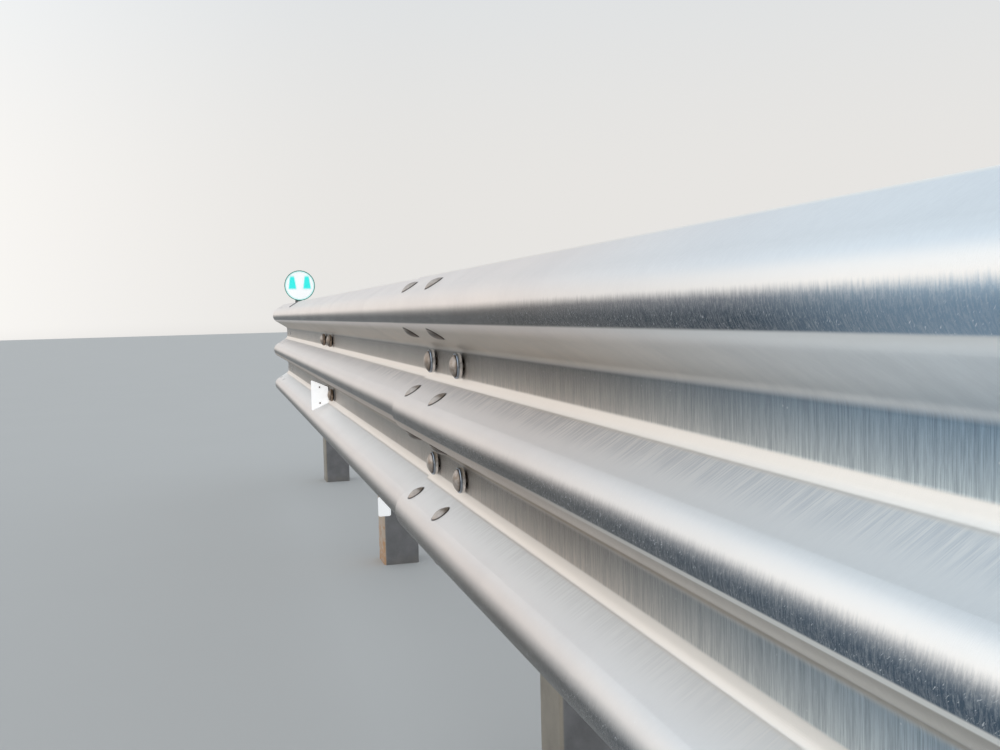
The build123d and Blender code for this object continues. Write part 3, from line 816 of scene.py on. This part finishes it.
def hexagon(bm, flats, start, height):
    """Six-sided nut or head with its corners taken off at both ends."""
    ring = bmesh.ops.create_circle(
        bm,
        cap_ends=True,
        segments=6,
        radius=flats / 2 / cos(pi / 6),
        matrix=Matrix.Translation((0, 0, start)),
    )["verts"]
    face = next(f for f in ring[0].link_faces if len(f.verts) == 6)
    raised = bmesh.ops.extrude_face_region(bm, geom=[face])["geom"]
    tops = [g for g in raised if isinstance(g, bmesh.types.BMVert)]
    bmesh.ops.translate(bm, verts=tops, vec=(0, 0, height))
    top_edges = [e for e in bm.edges if all(v in tops for v in e.verts)]
    foot_edges = [e for e in bm.edges if all(v in ring for v in e.verts)]
    bmesh.ops.bevel(
        bm,
        geom=top_edges + foot_edges,
        offset=flats * 0.045,
        offset_type="OFFSET",
        affect="EDGES",
        segments=2,
        profile=0.5,
        material=-1,
    )


def ring_washer(bm, outer, inner, start, thick, segments):
    """Flat washer with eased edges."""
    ease = thick * 0.2
    outline = [
        (inner, start),
        (outer - ease, start),
        (outer, start + ease),
        (outer, start + thick - ease),
        (outer - ease, start + thick),
        (inner, start + thick),
        (inner, start),
    ]
    spun(bm, outline, segments)


def raised_washer(bm, outer, inner, lift, thick, segments):
    """Thick washer: it sits on its middle, and its rim stands off the sheet."""
    ease = thick * 0.12
    outline = [
        (inner, 0.0),
        (outer * 0.50, 0.0),
        (outer * 0.74, lift * 0.50),
        (outer * 0.96, lift),
        (outer, lift + ease),
        (outer, lift + thick - ease),
        (outer - ease, lift + thick),
        (inner, lift + thick),
        (inner, 0.0),
    ]
    spun(bm, outline, segments)


def finished(bm):
    """Merges doubled points and turns every face outward."""
    bmesh.ops.remove_doubles(bm, verts=bm.verts, dist=1e-6)
    bmesh.ops.recalc_face_normals(bm, faces=bm.faces)


def fastener(build):
    """One fastener as a mesh, from the calls that build its parts."""
    whole = bmesh.new()
    for make, *sizes in build:
        part = bmesh.new()
        make(part, *sizes)
        finished(part)
        mesh = bpy.data.meshes.new("fastener_part")
        part.to_mesh(mesh)
        part.free()
        whole.from_mesh(mesh)
        bpy.data.meshes.remove(mesh)
    mesh = bpy.data.meshes.new("fastener")
    whole.to_mesh(mesh)
    whole.free()
    return mesh


def axis_place(point, normal, turn):
    """Matrix that stands a fastener's Z axis on a point, along a normal, turned about it."""
    swing = Vector((0, 0, 1)).rotation_difference(Vector(normal)).to_matrix().to_4x4()
    return Matrix.Translation(point) @ swing @ Matrix.Rotation(turn, 4, "Z")


def row_of(name, mesh, places, material, seed, darkened=()):
    """All like fasteners as one piece, each with its own tone and its points' heights."""
    draw = Random(seed)
    bm = bmesh.new()
    tone = bm.verts.layers.float.new("tone")
    level = bm.verts.layers.float.new("level")
    for number, place in enumerate(places):
        first = len(bm.verts)
        bm.from_mesh(mesh)
        bm.verts.ensure_lookup_table()
        fresh = bm.verts[first:]
        for vert in fresh:
            vert[level] = vert.co.z
        bmesh.ops.transform(bm, matrix=place, verts=fresh)
        shade = draw.random() + (2.0 if number in darkened else 0.0)
        for vert in fresh:
            vert[tone] = shade
    limit = radians(35)
    for face in bm.faces:
        face.smooth = True
    for edge in bm.edges:
        edge.smooth = edge.is_manifold and edge.calc_face_angle(0.0) < limit
    made = bpy.data.meshes.new(name)
    bm.to_mesh(made)
    bm.free()
    piece = bpy.data.objects.new(name, made)
    bpy.context.scene.collection.objects.link(piece)
    made.materials.append(material)
    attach(piece, "root")
    bpy.data.meshes.remove(mesh)
    return piece


def flank_places(seed):
    """Where the splice bolts stand: on both flanks of each wave, either side of the post."""
    draw = Random(seed)
    places = []
    for crest in CRESTS:
        for side in (-1, 1):
            normal = (0, -cos(FLANK), side * sin(FLANK))
            for column in (-BOLT_COLUMN, BOLT_COLUMN):
                point = (column, ROW_Y, crest + side * ROW_OFFSET)
                places.append(axis_place(point, normal, draw.uniform(0, 2 * pi)))
    return places


def valley_places(seed):
    """Where the valley bolts stand, at the three posts whose rail is bolted on."""
    draw = Random(seed)
    places = []
    for number in (2, 3, 4):
        for height in VALLEYS:
            for column in (-BOLT_COLUMN, BOLT_COLUMN):
                seat = VALLEY_FRONT_Y
                if number == 3:
                    seat -= LAP_SHIFT
                if number == 2 and height == VALLEYS[0] and column > 0:
                    seat = BRACKET_SEAT_Y
                point = (POST_XS[number - 1] + column, seat, height)
                places.append(axis_place(point, (0, -1, 0), draw.uniform(0, 2 * pi)))
    return places


BRACKET_SEAT_Y = VALLEY_FRONT_Y - 2.5 * MM


class GUARDRAIL_OT_splice_bolts(bpy.types.Operator):
    """Add the button-head bolts and nuts that hold the lapped panels together"""

    bl_idname = "guardrail.splice_bolts"
    bl_label = "Splice Bolts"

    def execute(self, context):
        sizes = context.scene.guardrail_sizes
        colours = context.scene.guardrail_colours
        grip = 2 * SHEET + LAP_GAP
        thread = sizes.shank / 2
        under = grip + 3 * MM
        mesh = fastener(
            (
                (
                    button_head,
                    sizes.splice_head / 2,
                    sizes.splice_dome,
                    1.2 * MM,
                    sizes.turn_segments,
                ),
                (threaded_end, thread, 1 * MM, -(under + 19 * MM), 2 * MM),
                (ring_washer, 15 * MM, thread, -under, 3 * MM, 32),
                (hexagon, sizes.nut_width, -(under + 14 * MM), 13.9 * MM),
            )
        )
        material = bolt_material("splice_bolt_zinc", colours, 0.95, 0.0, 0.0022)
        row_of("splice_bolts", mesh, flank_places(11), material, 12)
        return {"FINISHED"}


class GUARDRAIL_OT_valley_bolts(bpy.types.Operator):
    """Add the domed bolts, thick washers and nuts that hold the rail to its spacers"""

    bl_idname = "guardrail.valley_bolts"
    bl_label = "Valley Bolts"

    def execute(self, context):
        sizes = context.scene.guardrail_sizes
        colours = context.scene.guardrail_colours
        thread = sizes.shank / 2
        top = sizes.washer_lift + sizes.washer_rim
        seat = top - 0.4 * MM

        def head_on_washer(bm, radius, dome, rim, segments):
            button_head(bm, radius, dome, rim, segments)
            bmesh.ops.translate(bm, verts=bm.verts, vec=(0, 0, seat))

        washer = fastener(
            (
                (
                    raised_washer,
                    sizes.valley_washer / 2,
                    thread,
                    sizes.washer_lift,
                    sizes.washer_rim,
                    sizes.turn_segments,
                ),
            )
        )
        bolt = fastener(
            (
                (
                    head_on_washer,
                    sizes.valley_head / 2,
                    sizes.valley_dome,
                    1.5 * MM,
                    sizes.turn_segments,
                ),
                (threaded_end, thread, seat + 1 * MM, -38 * MM, 2 * MM),
            )
        )
        places = valley_places(21)
        dull = bolt_material("valley_bolt_zinc", colours, 1.7, seat, 0.0030)
        clean = washer_material(colours, sizes.washer_lift, top)
        # The bolt on the bracket lies in the reflector plate's shadow and takes the dark tone as painted shade;
        # all four washers at post 2 take the dark tone too.
        row_of("valley_bolts", bolt, places, dull, 22, darkened=(1,))
        row_of("valley_washers", washer, places, clean, 23, darkened=(0, 1, 2, 3))
        draw = Random(24)
        inside = []
        for place in places:
            point = place.to_translation()
            point.y = SPACER[0].y + SPACER_BACK_WALL
            inside.append(axis_place(point, (0, 1, 0), draw.uniform(0, 2 * pi)))
        nut = fastener(
            (
                (ring_washer, 15 * MM, thread, 0.0, 3 * MM, 32),
                (hexagon, sizes.nut_width, 3.1 * MM, 13.9 * MM),
            )
        )
        plain = bolt_material("valley_nut_zinc", colours, 0.6)
        row_of("valley_nuts", nut, inside, plain, 25)
        return {"FINISHED"}


class GUARDRAIL_OT_post_bolts(bpy.types.Operator):
    """Add the bolts through each post that hold its spacer"""

    bl_idname = "guardrail.post_bolts"
    bl_label = "Post Bolts"

    def execute(self, context):
        sizes = context.scene.guardrail_sizes
        colours = context.scene.guardrail_colours
        thread = sizes.post_shank / 2
        front = SPACER[1].y - SPACER_BACK_WALL
        reach = POST_BACK_Y - front
        mesh = fastener(
            (
                (ring_washer, 18.5 * MM, thread, 0.0, 2.5 * MM, 32),
                (hexagon, sizes.post_nut_width, 2.6 * MM, 11.5 * MM),
                (threaded_end, thread, 3 * MM, -(reach + 26 * MM), 2.5 * MM),
                (ring_washer, 18.5 * MM, thread, -(reach + 3 * MM), 3 * MM, 32),
                (hexagon, sizes.post_nut_width, -(reach + 21 * MM), 17.9 * MM),
            )
        )
        draw = Random(31)
        places = []
        for post_x in POST_XS:
            for rise in (-POST_BOLT_RISE, POST_BOLT_RISE):
                point = (post_x, POST_BACK_Y, CENTRE_Z + rise)
                places.append(axis_place(point, (0, 1, 0), draw.uniform(0, pi / 3)))
        material = bolt_material("post_bolt_zinc", colours, 0.6)
        row_of("post_bolts", mesh, places, material, 32)
        return {"FINISHED"}


class GUARDRAIL_OT_rivets(bpy.types.Operator):
    """Add the rivets of the trapezoid reflector"""

    bl_idname = "guardrail.rivets"
    bl_label = "Rivets"

    def execute(self, context):
        sizes = context.scene.guardrail_sizes
        colours = context.scene.guardrail_colours
        radius = sizes.rivet_head / 2
        middle_z = (PLATE[0].z + PLATE[1].z) / 2
        rivet_y = (PLATE[0].y + PLATE[1].y) / 2
        stack = PLATE[1].x - (PLATE[0].x - 2.5 * MM)

        def rivet(bm, grip):
            outline = arc(radius, 1.8 * MM, 0.0, 5)
            neck = radius * 0.62
            foot = [(0, -grip - 1.5 * MM), (radius * 0.9, -grip - 0.9 * MM), (radius, -grip)]
            spun(bm, foot + [(neck, -grip), (neck, 0.0)] + outline, 20)

        places = [
            axis_place((PLATE[1].x, rivet_y, middle_z + rise), (1, 0, 0), 0.0)
            for rise in (-28.5 * MM, 28.5 * MM)
        ]
        mesh = fastener(((rivet, stack),))
        material = bolt_material("rivet_zinc", colours, 1.0)
        row_of("reflector_rivets", mesh, places, material, 41)
        return {"FINISHED"}


class GUARDRAIL_OT_finishes(bpy.types.Operator):
    """Give every solid of the rail its finish"""

    bl_idname = "guardrail.finishes"
    bl_label = "Finishes"

    def execute(self, context):
        colours = context.scene.guardrail_colours
        rail = rail_material(colours)
        post = support_material("post_zinc", tuple(colours.post_zinc), colours, True)
        support = support_material("spacer_zinc", tuple(colours.post_zinc), colours, False)
        lighter = tuple(min(1.0, c * 1.12) for c in colours.post_zinc)
        cap = support_material("cap_zinc", lighter, colours, False)
        bracket = support_material("bracket_zinc", lighter, colours, False)
        # Glow strengths of the sheeting: painted light.
        plate = sheeting_material("plate_sheeting", colours, 0.62)
        white = sheeting_material("white_sheeting", colours, 0.38)
        face = sheeting_material("marker_sheeting", colours, 0.45, patches=True)
        pan = pan_material(colours)
        finish = {
            "rail_panel": rail,
            "post_cap": cap,
            "post_reflector": white,
            "post": post,
            "spacer_block": support,
            "reflector_bracket": bracket,
            "reflector_plate": plate,
            "marker_clip": bracket,
            "marker_disc": pan,
            "marker_face": face,
        }
        for name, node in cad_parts.items():
            start = max((s for s in finish if name.startswith(s)), key=len)
            node.material_slots[0].material = finish[start]
        return {"FINISHED"}


class GUARDRAIL_OT_stage(bpy.types.Operator):
    """Set up the plain floor, soft light and camera"""

    bl_idname = "guardrail.stage"
    bl_label = "Stage"

    def execute(self, context):
        scene = context.scene
        colours = scene.guardrail_colours
        self.floor(scene, colours)
        self.sky(scene, colours)
        self.lamps(scene)
        self.camera(scene)
        scene.view_settings.view_transform = "Standard"
        return {"FINISHED"}

    def floor(self, scene, colours):
        bm = bmesh.new()
        bmesh.ops.create_grid(bm, x_segments=1, y_segments=1, size=60.0)
        mesh = bpy.data.meshes.new("studio_floor")
        bm.to_mesh(mesh)
        bm.free()
        floor = bpy.data.objects.new("studio_floor", mesh)
        scene.collection.objects.link(floor)
        material, tree, shader, place = new_material("studio_floor")
        soft = noise(tree, place, 1.2, 2.0)
        pale = tuple(min(1.0, c * 1.03) for c in colours.floor)
        wire(tree, mix(tree, soft, tuple(colours.floor), pale), shader.inputs["Base Color"])
        shader.inputs["Roughness"].default_value = 0.9
        shader.inputs["Specular IOR Level"].default_value = 0.1
        mesh.materials.append(material)

    def sky(self, scene, colours):
        world = bpy.data.worlds.new("studio_sky")
        world.use_nodes = True
        scene.world = world
        tree = world.node_tree
        direction = put(tree, "ShaderNodeTexCoord").outputs["Generated"]
        parts = put(tree, "ShaderNodeSeparateXYZ")
        wire(tree, direction, parts.inputs[0])
        height = ramp(tree, parts.outputs[2], 0.08, 0.60)
        tint = mix(tree, height, colours.sky_low, colours.sky_high)
        side = ramp(tree, parts.outputs[1], 0.20, -0.55, 0.80, 1.08)
        under = ramp(tree, parts.outputs[2], -0.05, 0.0, 0.75, 1.0)
        level = maths(tree, "MULTIPLY", side, under)
        back = tree.nodes["Background"]
        wire(tree, tint, back.inputs[0])
        wire(tree, level, back.inputs[1])

    def lamps(self, scene):
        sun = bpy.data.lights.new("soft_key", "SUN")
        sun.energy = 0.15
        sun.angle = radians(90)
        sun.color = (1.0, 0.98, 0.95)
        key = bpy.data.objects.new("soft_key", sun)
        key.rotation_mode = "QUATERNION"
        key.rotation_quaternion = Vector((0.45, 0.55, -0.85)).to_track_quat("-Z", "Y")
        scene.collection.objects.link(key)

    def camera(self, scene):
        view = bpy.data.cameras.new("photo_view")
        view.sensor_width = 36.0
        view.lens = 36.95
        view.clip_start, view.clip_end = 0.02, 200.0
        camera = bpy.data.objects.new("photo_view", view)
        yaw, pitch, roll = radians(15.59), radians(3.56), radians(-1.43)
        level = Vector((-cos(yaw), sin(yaw), 0))
        forward = level * cos(pitch) - Vector((0, 0, sin(pitch)))
        upward = Vector((0, 0, cos(pitch))) + level * sin(pitch)
        right = forward.cross(upward)
        tilted_right = right * cos(roll) + upward * sin(roll)
        tilted_up = upward * cos(roll) - right * sin(roll)
        turn = Matrix((tilted_right, tilted_up, -forward)).transposed().to_4x4()
        camera.matrix_world = Matrix.Translation((1.7898, -0.5826, 0.9274)) @ turn
        scene.collection.objects.link(camera)
        scene.camera = camera


class GUARDRAIL_PT_sidebar(bpy.types.Panel):
    """Sizes, colours and steps of the guardrail"""

    bl_idname = "GUARDRAIL_PT_sidebar"
    bl_label = "Guardrail"
    bl_space_type = "VIEW_3D"
    bl_region_type = "UI"
    bl_category = "Guardrail"

    def draw(self, context):
        layout = self.layout
        for settings in (context.scene.guardrail_sizes, context.scene.guardrail_colours):
            box = layout.box()
            for name in settings.bl_rna.properties.keys():
                if name not in ("rna_type", "name"):
                    box.prop(settings, name)
        for step in STEPS:
            layout.operator(step.bl_idname)


STEPS = (
    GUARDRAIL_OT_finishes,
    GUARDRAIL_OT_splice_bolts,
    GUARDRAIL_OT_valley_bolts,
    GUARDRAIL_OT_post_bolts,
    GUARDRAIL_OT_rivets,
    GUARDRAIL_OT_stage,
)
CLASSES = (GuardrailSizes, GuardrailColours, *STEPS, GUARDRAIL_PT_sidebar)


def register():
    for made in CLASSES:
        bpy.utils.register_class(made)
    bpy.types.Scene.guardrail_sizes = PointerProperty(type=GuardrailSizes)
    bpy.types.Scene.guardrail_colours = PointerProperty(type=GuardrailColours)


def unregister():
    del bpy.types.Scene.guardrail_colours
    del bpy.types.Scene.guardrail_sizes
    for made in reversed(CLASSES):
        bpy.utils.unregister_class(made)


def main():
    """Registers the add-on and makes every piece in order."""
    register()
    for step in STEPS:
        group, name = step.bl_idname.split(".")
        getattr(getattr(bpy.ops, group), name)()


if __name__ == "__main__":
    main()
